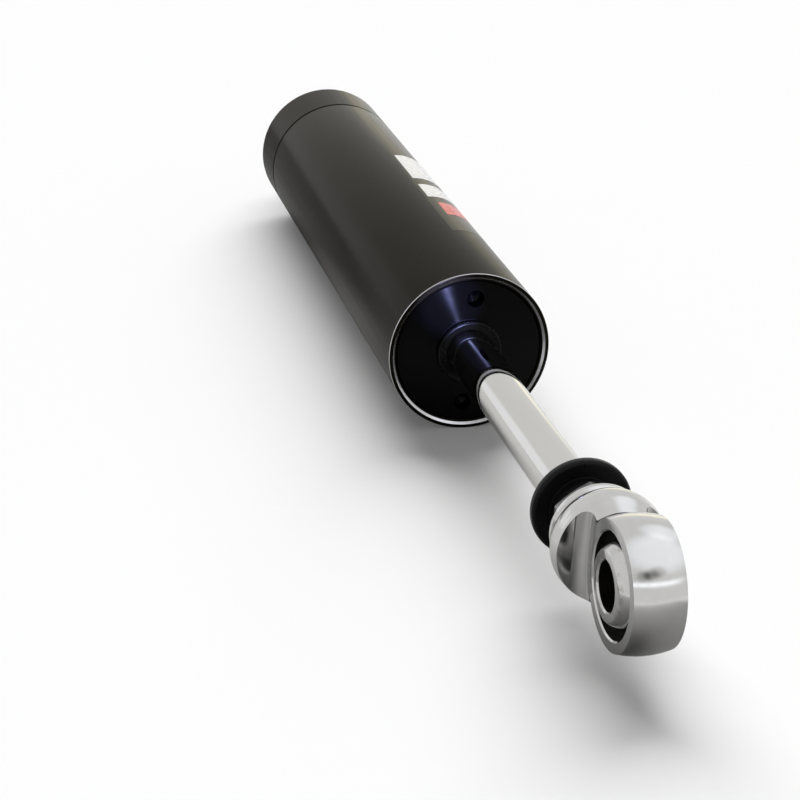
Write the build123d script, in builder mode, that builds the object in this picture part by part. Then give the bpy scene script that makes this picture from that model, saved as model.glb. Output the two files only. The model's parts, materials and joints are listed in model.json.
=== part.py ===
"""A twin-tube shock absorber: body, rod, valves and the two spherical bearings of its eyes.

Millimetres. The origin is the centre of the body eye. +X runs along the rod towards the rod
end, +Y along the bores of both eyes, and +Z is up as the shock lies on its side.
"""

from build123d import *
import math
import os

# Driving sizes

# Fits: radial gaps of parts that sit still and of parts that run, and the gap between stacked discs
seat_gap = 0.03
run_gap = 0.03
disc_gap = 0.02

# Travel of the rod
stroke = 127.0
extension_travel = 21.6
crush_gap = 1.0
top_out_gap = 0.3
bump_gap = 0.5

# Body tube
body_r = 25.4
tube_wall = 2.4
rim_edge = 0.4
mouth_chamfer = 1.2
seam_chamfer = 0.7

# Pressure tube, and the reserve space between it and the body tube
reserve_space = 4.34
pressure_wall = 1.2

# Base cap and its eye
eye_to_cap = 20.0
cap_band = 24.0
cap_wall = 9.5
cap_spigot = 13.0
cap_spigot_wall = 3.0
cap_edge = 0.8
eye_ring_r = 16.2
eye_ring_half_width = 7.4
eye_edge = 0.6
neck_half_height = 13.0
neck_fillet = 4.0

# Spherical bearings, the same ball at both ends
ball_r = 11.9
ball_width = 15.88
eye_bore_r = 6.35
bore_chamfer = 0.45
steel_race_r = 13.3
steel_race_half_width = 5.0
snap_ring_thickness = 1.1
snap_groove_depth = 0.75
snap_ring_inner_r = 11.8
snap_ring_opening = 34.0
snap_lug_r = 1.5
snap_lug_hole_r = 0.6
snap_side_gap = 0.05

# Rod guide, its seals and its bushing
guide_recess = 1.0
guide_length = 24.0
guide_flange = 18.0
guide_edge = 0.5
guide_mouth_r = 10.6
guide_mouth_depth = 9.0
guide_lip = 1.0
guide_lip_gap = 0.4
bushing_wall = 1.0
bushing_length = 13.0
bushing_edge = 0.3
seal_length = 4.8
seal_lip = 1.2
wiper_proud = 2.2
wiper_boss_r = 10.2
wiper_edge = 0.9
wiper_lip_angle = 28.0
spanner_hole_r = 2.75
spanner_hole_depth = 5.0
spanner_pcd = 34.0
spanner_angle = 86.0
drill_tip_angle = 59.0

# O-rings of the guide and the base cap
oring_r = 1.0
oring_groove_width = 2.7
oring_groove_gap = 0.05
guide_oring_from_face = 14.0
cap_oring_from_seam = 4.5

# Rod
rod_r = 7.14
piston_stud_r = 5.0
rod_stud_r = 6.35
rod_stud_engagement = 11.0
rod_chamfer = 0.6

# Piston and its stack
piston_clearance = 0.26
piston_length = 18.0
piston_edge = 0.5
band_width = 9.9
band_thickness = 1.5
band_side_gap = 0.05
port_r = 1.3
port_inset = 2.3
port_slant = 4.0
port_count = 4
disc_count = 3
compression_disc = 0.4
rebound_disc = 0.5
disc_cover = 1.0
disc_step = 1.3
top_washer_inset = 2.2
top_washer = 2.0
bumper_length = 4.5
bumper_r = 12.0
bumper_edge = 1.2
piston_spacer = 2.0
piston_spacer_r = 9.0
piston_nut_flats = 17.0
piston_nut = 8.0
nut_chamfer_angle = 30.0

# Foot valve
foot_skirt_height = 5.0
foot_seat_height = 7.0
foot_deck_height = 11.0
foot_skirt_wall = 3.2
foot_slot_width = 7.0
foot_slot_height = 3.0
foot_slot_count = 4
foot_bolt_r = 3.0
foot_bolt_head_flats = 10.0
foot_bolt_head = 2.8
foot_disc = 0.5
foot_disc_count = 2
foot_disc_r = 8.6
bleed_port_r = 1.0
bleed_circle_r = 6.5
bleed_count = 4
refill_port_r = 1.5
refill_count = 6
check_inset = 2.23
check_width = 6.0
check_thickness = 0.8
check_lift = 1.0
check_spring_height = 1.4
check_spring_thickness = 0.3
check_spring_fingers = 6
check_finger_gap = 3.2
check_spring_hub_r = 5.9
check_spring_ring_r = 8.0
check_spring_inset = 1.6
cup_hub_r = 5.5
cup_flange_r = 8.8
cup_thickness = 1.2
foot_nut_flats = 10.0
foot_nut = 4.0

# Gas bag in the reserve space
bag_length = 96.0
bag_from_guide = 34.0
bag_thickness = 3.0
bag_gap = 0.3
bag_opening = 56.0
bag_edge = 1.3

# Bump washer and jam nut
bump_washer_r = 13.7
bump_washer = 3.2
bump_washer_edge = 1.1
bump_hub_r = 9.0
bump_hub = 5.1
jam_nut_flats = 19.05
jam_nut = 5.2
jam_nut_corner_angle = 95.0

# Rod end, from its back face against the jam nut
rod_end_length = 30.8
flange_r = 12.6
flange_width = 2.4
flange_edge = 0.6
groove_width = 1.3
groove_r = 11.2
collar_start_r = 12.5
collar_r = 14.8
collar_peak = 11.2
collar_bulge = 0.95
collar_fall = 0.4
collar_fall_length = 2.4
shank_neck_r = 13.1
shank_neck_length = 4.6
flats_start = 13.0
flats_half_width = 10.55
ring_half_width = 6.7
ring_r = 17.3
ring_crown = 0.9
socket_extra = 0.5

# Moulded race of the rod end
race_bore_r = 13.3
race_half_width = 5.2
race_rib_height = 0.9
race_rib_half_width = 2.0
race_mouth_chamfer = 0.4


# Places along the axis, all worked out from the sizes above

tube_bore_r = body_r - tube_wall
pressure_r = tube_bore_r - reserve_space
pressure_bore_r = pressure_r - pressure_wall
seam_x = eye_to_cap + cap_band
cap_floor_x = eye_to_cap + cap_wall

check_seat_x = cap_floor_x + foot_deck_height
check_top_x = check_seat_x + disc_gap + check_thickness
cup_x = check_top_x + check_spring_height + check_lift + disc_gap
foot_nut_x = cup_x + cup_thickness
foot_top_x = foot_nut_x + foot_nut

compression_stack = disc_count * (compression_disc + disc_gap)
rebound_stack = disc_count * (rebound_disc + disc_gap)
stack_length = (
    piston_nut
    + piston_spacer
    + rebound_stack
    + piston_length
    + compression_stack
    + top_washer
    + bumper_length
)
guide_inner_x = foot_top_x + crush_gap + stack_length + stroke + top_out_gap
guide_face_x = guide_inner_x + guide_length
rim_x = guide_face_x + guide_recess
pressure_end_x = guide_face_x - guide_flange
pressure_start_x = cap_floor_x + foot_seat_height

bumper_top_x = guide_inner_x - top_out_gap - extension_travel
bumper_x = bumper_top_x - bumper_length
top_washer_x = bumper_x - top_washer
compression_x = top_washer_x - compression_stack
piston_x = compression_x - piston_length
rebound_x = piston_x - rebound_stack
piston_spacer_x = rebound_x - piston_spacer
piston_nut_x = piston_spacer_x - piston_nut
band_x = piston_x + (piston_length - band_width) / 2

wiper_lip_x = guide_face_x + wiper_proud
bump_washer_x = wiper_lip_x + bump_gap + stroke - extension_travel
bump_hub_x = bump_washer_x + bump_washer
jam_nut_x = bump_hub_x + bump_hub
rod_end_x = jam_nut_x + jam_nut
rod_stud_end_x = rod_end_x + rod_stud_engagement
rod_eye_x = rod_end_x + rod_end_length

rod_eye_axis = Axis((rod_eye_x, 0, 0), (0, 1, 0))


def turn(points, mode=Mode.ADD):
    """Revolves a closed outline of (x, radius) points round the axis of the shock."""
    with BuildSketch(Plane.XZ) as outline:
        with BuildLine():
            Polyline(*points, close=True)
        make_face()
    revolve(outline.sketch, axis=Axis.X, mode=mode)


def turn_eye(points, eye_x, mode=Mode.ADD):
    """Revolves a closed outline of (y, radius) points round the bore of an eye."""
    with BuildSketch(Plane.YZ.offset(eye_x)) as outline:
        with BuildLine():
            Polyline(*points, close=True)
        make_face()
    revolve(outline.sketch, axis=Axis((eye_x, 0, 0), (0, 1, 0)), mode=mode)


def ring(start_x, end_x, inner_r, outer_r, mode=Mode.ADD):
    """A plain ring round the axis of the shock."""
    turn([(start_x, inner_r), (start_x, outer_r), (end_x, outer_r), (end_x, inner_r)], mode)


def hexagon(start_x, length, flats, corner_angle):
    """A hexagon prism whose six corners are turned off at both ends, as on a nut."""
    with BuildSketch(Plane.YZ.offset(start_x)) as outline:
        RegularPolygon(flats / 2, 6, major_radius=False, rotation=corner_angle)
    extrude(outline.sketch, amount=length)
    corner_r = flats / math.sqrt(3)
    chamfer_drop = (corner_r - flats / 2) * math.tan(math.radians(nut_chamfer_angle))
    turn(
        [
            (start_x, 0),
            (start_x, flats / 2),
            (start_x + chamfer_drop, corner_r),
            (start_x + length - chamfer_drop, corner_r),
            (start_x + length, flats / 2),
            (start_x + length, 0),
        ],
        Mode.INTERSECT,
    )


def oring(centre_x, centre_r):
    """A ring round the axis of the shock, its round section squeezed to eight flats."""
    with BuildSketch(Plane.XZ) as section:
        with Locations((centre_x, centre_r)):
            RegularPolygon(oring_r, 8, major_radius=False, rotation=180 / 8)
    revolve(section.sketch, axis=Axis.X)


def disc_stack(start_x, thickness, count, largest_r, direction):
    """Thin discs on the piston stud, each smaller than the one nearer the piston."""
    for number in range(count):
        near_x = start_x + direction * number * (thickness + disc_gap) + direction * disc_gap
        far_x = near_x + direction * thickness
        disc_r = largest_r - number * disc_step
        ring(min(near_x, far_x), max(near_x, far_x), piston_stud_r + seat_gap, disc_r)


# Body tube: chamfered at the seam, and at the mouth in front of the guide

with BuildPart() as body_tube:
    turn(
        [
            (seam_x, tube_bore_r),
            (seam_x, body_r - seam_chamfer),
            (seam_x + seam_chamfer, body_r),
            (rim_x - rim_edge, body_r),
            (rim_x, body_r - rim_edge),
            (rim_x, tube_bore_r + mouth_chamfer),
            (rim_x - mouth_chamfer, tube_bore_r),
        ]
    )


# Base cap: a cup with a spigot inside the tube, and the body eye on its back

cap_spigot_r = tube_bore_r - seat_gap
cap_bore_r = cap_spigot_r - cap_spigot_wall
cap_groove_x = seam_x + cap_oring_from_seam
oring_groove_r = tube_bore_r - 2 * oring_r - oring_groove_gap
race_seat_r = steel_race_r + seat_gap
snap_groove_start = steel_race_half_width + snap_side_gap
snap_groove_end = snap_groove_start + snap_ring_thickness + snap_side_gap
snap_groove_r = race_seat_r + snap_groove_depth

with BuildPart() as base_cap:
    turn_eye(
        [
            (-eye_ring_half_width, 0),
            (-eye_ring_half_width, eye_ring_r - eye_edge),
            (-eye_ring_half_width + eye_edge, eye_ring_r),
            (eye_ring_half_width - eye_edge, eye_ring_r),
            (eye_ring_half_width, eye_ring_r - eye_edge),
            (eye_ring_half_width, 0),
        ],
        0,
    )
    # Neck: as wide as the ring, and flared by an arc where it runs into the cap
    with BuildSketch(Plane.XY) as neck_outline:
        with BuildLine():
            flare_x = eye_to_cap - neck_fillet
            flare_y = eye_ring_half_width + neck_fillet
            Line((0, eye_ring_half_width), (flare_x, eye_ring_half_width))
            RadiusArc((flare_x, eye_ring_half_width), (eye_to_cap, flare_y), neck_fillet)
            Line((eye_to_cap, flare_y), (eye_to_cap, 0))
            Line((eye_to_cap, 0), (0, 0))
            Line((0, 0), (0, eye_ring_half_width))
        make_face()
        mirror(about=Plane.XZ)
    extrude(neck_outline.sketch, amount=neck_half_height, both=True)
    turn(
        [
            (eye_to_cap, 0),
            (eye_to_cap, body_r - cap_edge),
            (eye_to_cap + cap_edge, body_r),
            (seam_x - seam_chamfer, body_r),
            (seam_x, body_r - seam_chamfer),
            (seam_x, cap_spigot_r),
            (seam_x + cap_spigot, cap_spigot_r),
            (seam_x + cap_spigot, cap_bore_r),
            (cap_floor_x, cap_bore_r),
            (cap_floor_x, 0),
        ]
    )
    ring(
        cap_groove_x,
        cap_groove_x + oring_groove_width,
        oring_groove_r,
        tube_bore_r,
        Mode.SUBTRACT,
    )
    turn_eye(
        [
            (-eye_ring_half_width, 0),
            (-eye_ring_half_width, race_seat_r + eye_edge),
            (-eye_ring_half_width + eye_edge, race_seat_r),
            (-snap_groove_end, race_seat_r),
            (-snap_groove_end, snap_groove_r),
            (-snap_groove_start, snap_groove_r),
            (-snap_groove_start, race_seat_r),
            (snap_groove_start, race_seat_r),
            (snap_groove_start, snap_groove_r),
            (snap_groove_end, snap_groove_r),
            (snap_groove_end, race_seat_r),
            (eye_ring_half_width - eye_edge, race_seat_r),
            (eye_ring_half_width, race_seat_r + eye_edge),
            (eye_ring_half_width, 0),
        ],
        0,
        Mode.SUBTRACT,
    )


# Bearing of the body eye: a steel race between two snap rings, and the ball in it

def race(eye_x, outline_half, cavity_r):
    """A race: half of its outer outline mirrored, round a ball-shaped cavity."""
    outer = [(-y, r) for y, r in reversed(outline_half)] + outline_half
    half_width = outline_half[-1][0]
    mouth_r = math.sqrt(cavity_r**2 - half_width**2)
    with BuildSketch(Plane.YZ.offset(eye_x)) as outline:
        with BuildLine():
            Polyline((-half_width, mouth_r), *outer, (half_width, mouth_r))
            ThreePointArc((half_width, mouth_r), (0, cavity_r), (-half_width, mouth_r))
        make_face()
    revolve(outline.sketch, axis=Axis((eye_x, 0, 0), (0, 1, 0)))


def ball(eye_x):
    """A truncated ball with flat faces and a chamfered bore along Y."""
    half_width = ball_width / 2
    face_r = math.sqrt(ball_r**2 - half_width**2)
    with BuildSketch(Plane.YZ.offset(eye_x)) as outline:
        with BuildLine():
            Polyline(
                (-half_width, face_r),
                (-half_width, eye_bore_r + bore_chamfer),
                (-half_width + bore_chamfer, eye_bore_r),
                (half_width - bore_chamfer, eye_bore_r),
                (half_width, eye_bore_r + bore_chamfer),
                (half_width, face_r),
            )
            ThreePointArc((half_width, face_r), (0, ball_r), (-half_width, face_r))
        make_face()
    revolve(outline.sketch, axis=Axis((eye_x, 0, 0), (0, 1, 0)))


with BuildPart() as body_eye_race:
    race(0, [(steel_race_half_width, steel_race_r)], ball_r + run_gap)

with BuildPart() as body_eye_ball:
    ball(0)

with BuildPart() as body_eye_snap_rings:
    snap_ring_r = snap_groove_r - seat_gap
    lug_centre_r = snap_ring_inner_r + snap_lug_r / 2
    lug_spread = snap_ring_opening + 2 * math.degrees(snap_lug_r / lug_centre_r)
    opening_x = 2 * snap_ring_r
    opening_z = opening_x * math.tan(math.radians(snap_ring_opening / 2))
    for side in (-1, 1):
        snap_middle = side * (snap_groove_start + snap_groove_end) / 2
        with BuildSketch(Plane.XZ.offset(-snap_middle)) as snap_outline:
            Circle(snap_ring_r)
            Circle(snap_ring_inner_r, mode=Mode.SUBTRACT)
            with BuildLine(mode=Mode.PRIVATE) as opening:
                Polyline((0, 0), (-opening_x, opening_z), (-opening_x, -opening_z), close=True)
            make_face(opening.edges(), mode=Mode.SUBTRACT)
            with PolarLocations(lug_centre_r, 2, 180 - lug_spread / 2, lug_spread, endpoint=True):
                Circle(snap_lug_r)
                Circle(snap_lug_hole_r, mode=Mode.SUBTRACT)
        extrude(snap_outline.sketch, amount=snap_ring_thickness / 2, both=True)

with BuildPart() as base_oring:
    oring(cap_groove_x + oring_groove_width / 2, tube_bore_r - oring_r - oring_groove_gap / 2)


# Foot valve on the floor of the base cap, and the pressure tube that stands on it

foot_deck_x = cap_floor_x + foot_skirt_height
foot_spigot_r = pressure_bore_r - seat_gap
check_outer_r = foot_spigot_r - check_inset
check_inner_r = check_outer_r - check_width
check_spring_tip_r = check_outer_r - check_spring_inset
refill_circle_r = (check_inner_r + check_outer_r) / 2

with BuildPart() as foot_valve_body:
    turn(
        [
            (cap_floor_x, pressure_r - foot_skirt_wall),
            (cap_floor_x, pressure_r),
            (pressure_start_x, pressure_r),
            (pressure_start_x, foot_spigot_r),
            (check_seat_x, foot_spigot_r),
            (check_seat_x, foot_bolt_r + seat_gap),
            (foot_deck_x, foot_bolt_r + seat_gap),
            (foot_deck_x, pressure_r - foot_skirt_wall),
        ]
    )
    # Slots in the skirt let oil pass to the reserve space
    with BuildSketch(Plane.YZ.offset(cap_floor_x)):
        with PolarLocations(pressure_r - foot_skirt_wall / 2, foot_slot_count):
            Rectangle(2 * foot_skirt_wall, foot_slot_width)
    extrude(amount=foot_slot_height, mode=Mode.SUBTRACT)
    with BuildSketch(Plane.YZ.offset(foot_deck_x)):
        with PolarLocations(bleed_circle_r, bleed_count):
            Circle(bleed_port_r)
        with PolarLocations(refill_circle_r, refill_count):
            Circle(refill_port_r)
    extrude(amount=foot_deck_height - foot_skirt_height, mode=Mode.SUBTRACT)

foot_discs_x = foot_deck_x - foot_disc_count * (foot_disc + disc_gap)
foot_bolt_head_x = foot_discs_x - foot_bolt_head

with BuildPart() as foot_valve_discs:
    for number in range(foot_disc_count):
        disc_top_x = foot_deck_x - disc_gap - number * (foot_disc + disc_gap)
        disc_outer_r = foot_disc_r - number * disc_step
        ring(disc_top_x - foot_disc, disc_top_x, foot_bolt_r + seat_gap, disc_outer_r)

with BuildPart() as foot_valve_bolt:
    hexagon(foot_bolt_head_x, foot_bolt_head, foot_bolt_head_flats, 0)
    ring(foot_bolt_head_x + foot_bolt_head / 2, foot_top_x, 0, foot_bolt_r)

with BuildPart() as foot_valve_cup:
    turn(
        [
            (check_seat_x, foot_bolt_r + seat_gap),
            (check_seat_x, cup_hub_r),
            (cup_x, cup_hub_r),
            (cup_x, cup_flange_r),
            (foot_nut_x, cup_flange_r),
            (foot_nut_x, foot_bolt_r + seat_gap),
        ]
    )

with BuildPart() as foot_valve_nut:
    hexagon(foot_nut_x, foot_nut, foot_nut_flats, 0)
    ring(foot_nut_x, foot_top_x, 0, foot_bolt_r + seat_gap, Mode.SUBTRACT)

with BuildPart() as foot_check_plate:
    ring(check_seat_x + disc_gap, check_top_x, check_inner_r, check_outer_r)

# Check spring: a dished ring whose fingers reach down to the check plate
with BuildPart() as foot_check_spring:
    spring_top_x = check_top_x + check_spring_height
    turn(
        [
            (spring_top_x - check_spring_thickness, check_spring_hub_r),
            (spring_top_x, check_spring_hub_r),
            (spring_top_x, check_spring_ring_r),
            (check_top_x + check_spring_thickness, check_spring_tip_r),
            (check_top_x, check_spring_tip_r),
            (spring_top_x - check_spring_thickness, check_spring_ring_r),
        ]
    )
    with BuildSketch(Plane.YZ.offset(check_top_x)):
        with PolarLocations(check_spring_tip_r, check_spring_fingers):
            Rectangle(2 * (check_spring_tip_r - check_spring_ring_r), check_finger_gap)
    extrude(amount=check_spring_height, mode=Mode.SUBTRACT)

with BuildPart() as pressure_tube:
    ring(pressure_start_x, pressure_end_x, pressure_bore_r, pressure_r)

with BuildPart() as gas_bag:
    bag_inner_r = pressure_r + bag_gap
    bag_outer_r = bag_inner_r + bag_thickness
    bag_end_x = pressure_end_x - bag_from_guide
    with BuildSketch(Plane.YZ.offset(bag_end_x - bag_length)) as bag_outline:
        Circle(bag_outer_r)
        Circle(bag_inner_r, mode=Mode.SUBTRACT)
        with BuildLine(mode=Mode.PRIVATE) as bag_mouth:
            mouth_y = 2 * bag_outer_r
            mouth_z = mouth_y * math.tan(math.radians(bag_opening / 2))
            Polyline((0, 0), (mouth_y, mouth_z), (mouth_y, -mouth_z), close=True)
        make_face(bag_mouth.edges(), mode=Mode.SUBTRACT)
    extrude(bag_outline.sketch, amount=bag_length)
    fillet(gas_bag.edges().filter_by(Axis.X), bag_edge)


# Rod guide: screwed into the tube, with the pressure tube on its spigot

guide_r = tube_bore_r - seat_gap
guide_groove_x = guide_face_x - guide_oring_from_face - oring_groove_width
guide_seal_x = guide_face_x - guide_mouth_depth
bushing_r = rod_r + run_gap + bushing_wall
bushing_x = guide_inner_x + guide_lip

with BuildPart() as rod_guide:
    turn(
        [
            (guide_face_x, guide_mouth_r),
            (guide_face_x, guide_r - guide_edge),
            (guide_face_x - guide_edge, guide_r),
            (guide_groove_x + oring_groove_width, guide_r),
            (guide_groove_x + oring_groove_width, oring_groove_r),
            (guide_groove_x, oring_groove_r),
            (guide_groove_x, guide_r),
            (pressure_end_x, guide_r),
            (pressure_end_x, foot_spigot_r),
            (guide_inner_x + guide_edge, foot_spigot_r),
            (guide_inner_x, foot_spigot_r - guide_edge),
            (guide_inner_x, rod_r + guide_lip_gap),
            (bushing_x, rod_r + guide_lip_gap),
            (bushing_x, bushing_r + seat_gap),
            (guide_seal_x, bushing_r + seat_gap),
            (guide_seal_x, guide_mouth_r),
        ]
    )
    # Two drilled holes for a pin spanner
    with Locations(Plane.YZ.offset(guide_face_x)):
        with PolarLocations(spanner_pcd / 2, 2, spanner_angle):
            Hole(spanner_hole_r, spanner_hole_depth)
    drill_tip = spanner_hole_r / math.tan(math.radians(drill_tip_angle))
    with Locations(Plane.YZ.offset(guide_face_x - spanner_hole_depth)):
        with PolarLocations(spanner_pcd / 2, 2, spanner_angle):
            Cone(
                spanner_hole_r,
                0,
                drill_tip,
                rotation=(180, 0, 0),
                align=(Align.CENTER, Align.CENTER, Align.MIN),
                mode=Mode.SUBTRACT,
            )

with BuildPart() as guide_oring:
    oring(guide_groove_x + oring_groove_width / 2, tube_bore_r - oring_r - oring_groove_gap / 2)

with BuildPart() as guide_bushing:
    bushing_end_x = bushing_x + bushing_length
    turn(
        [
            (bushing_x, rod_r + run_gap + bushing_edge),
            (bushing_x, bushing_r - bushing_edge),
            (bushing_x + bushing_edge, bushing_r),
            (bushing_end_x - bushing_edge, bushing_r),
            (bushing_end_x, bushing_r - bushing_edge),
            (bushing_end_x, rod_r + run_gap + bushing_edge),
            (bushing_end_x - bushing_edge, rod_r + run_gap),
            (bushing_x + bushing_edge, rod_r + run_gap),
        ]
    )

# Rod seal: a U-shaped section whose inner lip bears on the rod
seal_end_x = guide_seal_x + seal_length
seal_outer_r = guide_mouth_r - seat_gap
with BuildPart() as rod_seal:
    seal_middle_r = (rod_r + seal_outer_r) / 2
    turn(
        [
            (guide_seal_x, rod_r + seal_lip / 2),
            (guide_seal_x, rod_r + seal_lip),
            (guide_seal_x + seal_length / 2, seal_middle_r),
            (guide_seal_x, seal_outer_r - seal_lip),
            (guide_seal_x, seal_outer_r),
            (seal_end_x, seal_outer_r),
            (seal_end_x, rod_r + seal_lip / 2),
            (guide_seal_x + seal_length / 2, rod_r + seal_lip / 2),
            (guide_seal_x + seal_lip, rod_r + run_gap),
        ]
    )

# Wiper: a boss proud of the guide, hollowed towards a scraping lip
with BuildPart() as rod_wiper:
    wiper_flare = (wiper_boss_r - wiper_edge - rod_r - run_gap) * math.tan(math.radians(wiper_lip_angle))
    with BuildSketch(Plane.XZ) as wiper_outline:
        with BuildLine():
            wiper_front = Polyline(
                (wiper_lip_x - wiper_edge, wiper_boss_r),
                (guide_face_x - guide_edge, wiper_boss_r),
                (guide_face_x - guide_edge, seal_outer_r),
                (seal_end_x, seal_outer_r),
                (seal_end_x, rod_r + guide_lip_gap),
                (wiper_lip_x - wiper_flare - guide_lip_gap, rod_r + guide_lip_gap),
                (wiper_lip_x - wiper_flare, rod_r + run_gap),
                (wiper_lip_x, wiper_boss_r - wiper_edge),
            )
            TangentArc(
                (wiper_lip_x - wiper_edge, wiper_boss_r),
                (wiper_lip_x, wiper_boss_r - wiper_edge),
                tangent=(1, 0),
            )
        make_face()
    revolve(wiper_outline.sketch, axis=Axis.X)


# Rod with a stud at each end

with BuildPart() as piston_rod:
    turn(
        [
            (piston_nut_x, 0),
            (piston_nut_x, piston_stud_r - rod_chamfer),
            (piston_nut_x + rod_chamfer, piston_stud_r),
            (bumper_x, piston_stud_r),
            (bumper_x, rod_r),
            (bump_washer_x, rod_r),
            (bump_washer_x, rod_stud_r),
            (rod_stud_end_x - rod_chamfer, rod_stud_r),
            (rod_stud_end_x, rod_stud_r - rod_chamfer),
            (rod_stud_end_x, 0),
        ]
    )


# Piston: slanted ports cross from the outer circle on one face to the inner circle on the other

piston_r = pressure_bore_r - piston_clearance
port_outer_circle_r = piston_r - port_inset
port_inner_circle_r = port_outer_circle_r - port_slant
first_disc_r = port_inner_circle_r + port_r + disc_cover
top_washer_r = piston_r - top_washer_inset
band_outer_r = pressure_bore_r - run_gap
band_inner_r = band_outer_r - band_thickness

with BuildPart() as piston:
    turn(
        [
            (piston_x, piston_stud_r + seat_gap),
            (piston_x, piston_r - piston_edge),
            (piston_x + piston_edge, piston_r),
            (band_x - band_side_gap, piston_r),
            (band_x - band_side_gap, band_inner_r - run_gap),
            (band_x + band_width + band_side_gap, band_inner_r - run_gap),
            (band_x + band_width + band_side_gap, piston_r),
            (compression_x - piston_edge, piston_r),
            (compression_x, piston_r - piston_edge),
            (compression_x, piston_stud_r + seat_gap),
        ]
    )
    for number in range(2 * port_count):
        port_angle = math.radians(180 / port_count * number)
        low_r, high_r = port_outer_circle_r, port_inner_circle_r
        if number % 2:
            low_r, high_r = high_r, low_r
        low = Vector(piston_x, low_r * math.cos(port_angle), low_r * math.sin(port_angle))
        high = Vector(compression_x, high_r * math.cos(port_angle), high_r * math.sin(port_angle))
        with BuildSketch(Plane((low + high) / 2, z_dir=high - low)):
            Circle(port_r)
        extrude(amount=piston_length, both=True, mode=Mode.SUBTRACT)

with BuildPart() as piston_band:
    ring(band_x, band_x + band_width, band_inner_r, band_outer_r)

with BuildPart() as compression_discs:
    disc_stack(compression_x, compression_disc, disc_count, first_disc_r, 1)

with BuildPart() as rebound_discs:
    disc_stack(piston_x, rebound_disc, disc_count, first_disc_r, -1)

with BuildPart() as top_out_washer:
    ring(top_washer_x, bumper_x, piston_stud_r + seat_gap, top_washer_r)

with BuildPart() as top_out_bumper:
    turn(
        [
            (bumper_x, rod_r + seat_gap),
            (bumper_x, bumper_r),
            (bumper_top_x - bumper_edge, bumper_r),
            (bumper_top_x, bumper_r - bumper_edge),
            (bumper_top_x, rod_r + seat_gap),
        ]
    )

with BuildPart() as piston_spacer_washer:
    ring(piston_spacer_x, rebound_x, piston_stud_r + seat_gap, piston_spacer_r)

with BuildPart() as piston_nut_hex:
    hexagon(piston_nut_x, piston_nut, piston_nut_flats, 0)
    ring(piston_nut_x, piston_spacer_x, 0, piston_stud_r + seat_gap, Mode.SUBTRACT)


# Bump washer and jam nut on the outer stud

with BuildPart() as bump_disc:
    ring(bump_washer_x, bump_hub_x, rod_stud_r + seat_gap, bump_washer_r)
    rim_edges = bump_disc.edges().filter_by(GeomType.CIRCLE).sort_by(SortBy.RADIUS)[-2:]
    fillet(rim_edges, bump_washer_edge)
    ring(bump_hub_x, jam_nut_x, rod_stud_r + seat_gap, bump_hub_r)

with BuildPart() as jam_hex:
    hexagon(jam_nut_x, jam_nut, jam_nut_flats, jam_nut_corner_angle)
    ring(jam_nut_x, rod_end_x, 0, rod_stud_r + seat_gap, Mode.SUBTRACT)


# Rod end: a turned shank with a round collar, milled flats, and a crowned ring

socket_r = rod_stud_r + seat_gap
socket_end_x = rod_stud_end_x + socket_extra
socket_tip = socket_r / math.tan(math.radians(drill_tip_angle))
groove_start_x = rod_end_x + flange_width
collar_start_x = groove_start_x + groove_width
collar_peak_x = rod_end_x + collar_peak
collar_fall_x = collar_peak_x + collar_fall_length
shank_neck_x = collar_fall_x + shank_neck_length
flats_x = rod_end_x + flats_start
flats_fillet = flats_half_width - ring_half_width
cut_width = 2 * ring_r

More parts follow.
